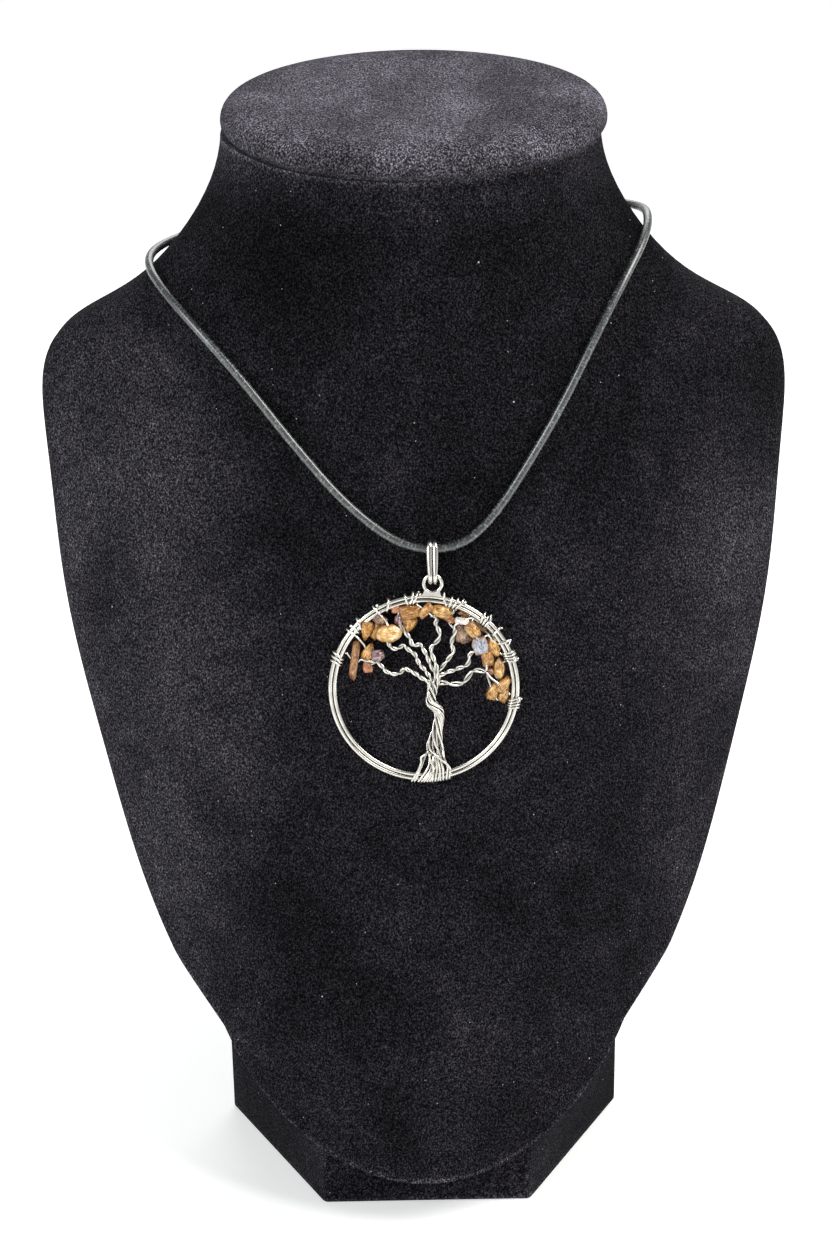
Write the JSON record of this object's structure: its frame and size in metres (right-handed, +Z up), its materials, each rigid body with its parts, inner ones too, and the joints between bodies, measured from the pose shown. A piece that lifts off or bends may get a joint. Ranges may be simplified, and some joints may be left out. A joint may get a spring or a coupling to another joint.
{
  "type": "tree of life pendant on a cord, on a plain neck bust",
  "caption": "Round silver wire hoop with a twisted-wire tree whose crown carries small drilled stone chips, hung by a bail on a black cord around a plain dark neck bust.",
  "frame": {"origin": "middle of the underside of the bust's base, which is the lowest point", "axes": "+Z up, -Y the front that the pendant hangs on, +X to the right seen from the front"},
  "size_m": [0.2042, 0.1221, 0.3068],
  "materials": {
    "flock": "matt flock",
    "flock_cap": "matt flock",
    "cord": "braided, slight sheen",
    "metal": "polished, silver coloured",
    "stone_brown": "polished stone",
    "stone_amber": "polished stone",
    "stone_honey": "polished stone",
    "stone_purple": "polished stone",
    "stone_dark": "polished stone",
    "stone_red": "polished stone",
    "stone_pale": "polished stone",
    "stone_grey": "polished stone"
  },
  "bodies": {
    "display": {"base": "flock", "bust_form": "flock", "neck_cap": "flock_cap", "cord": "cord", "clasp": "metal"},
    "bail": {"bail": "metal"},
    "pendant": {"hoop": "metal", "tree_wires": "metal", "chip_01": "stone_brown", "chip_02": "stone_amber", "chip_03": "stone_brown", "chip_04": "stone_purple", "chip_05": "stone_amber", "chip_06": "stone_amber", "chip_07": "stone_dark", "chip_08": "stone_honey", "chip_09": "stone_red", "chip_10": "stone_purple", "chip_11": "stone_amber", "chip_12": "stone_amber", "chip_13": "stone_amber", "chip_14": "stone_honey", "chip_15": "stone_brown", "chip_16": "stone_pale", "chip_17": "stone_dark", "chip_18": "stone_brown", "chip_19": "stone_honey", "chip_20": "stone_brown", "chip_21": "stone_grey", "chip_22": "stone_honey", "chip_23": "stone_amber", "chip_24": "stone_honey", "chip_25": "stone_brown", "chip_26": "stone_honey", "chip_27": "stone_honey", "chip_28": "stone_honey"}
  },
  "joints": [
    {"name": "bail_swing", "type": "hinge", "parent": "display", "child": "bail", "pos_m": [0.0037, -0.03303, 0.187], "axis": [-1, 0, 0], "range_deg": [0, 60]},
    {"name": "pendant_swing", "type": "hinge", "parent": "bail", "child": "pendant", "pos_m": [0.0037, -0.03554, 0.18079], "axis": [-1, 0, 0], "range_deg": [0, 75]}
  ]
}
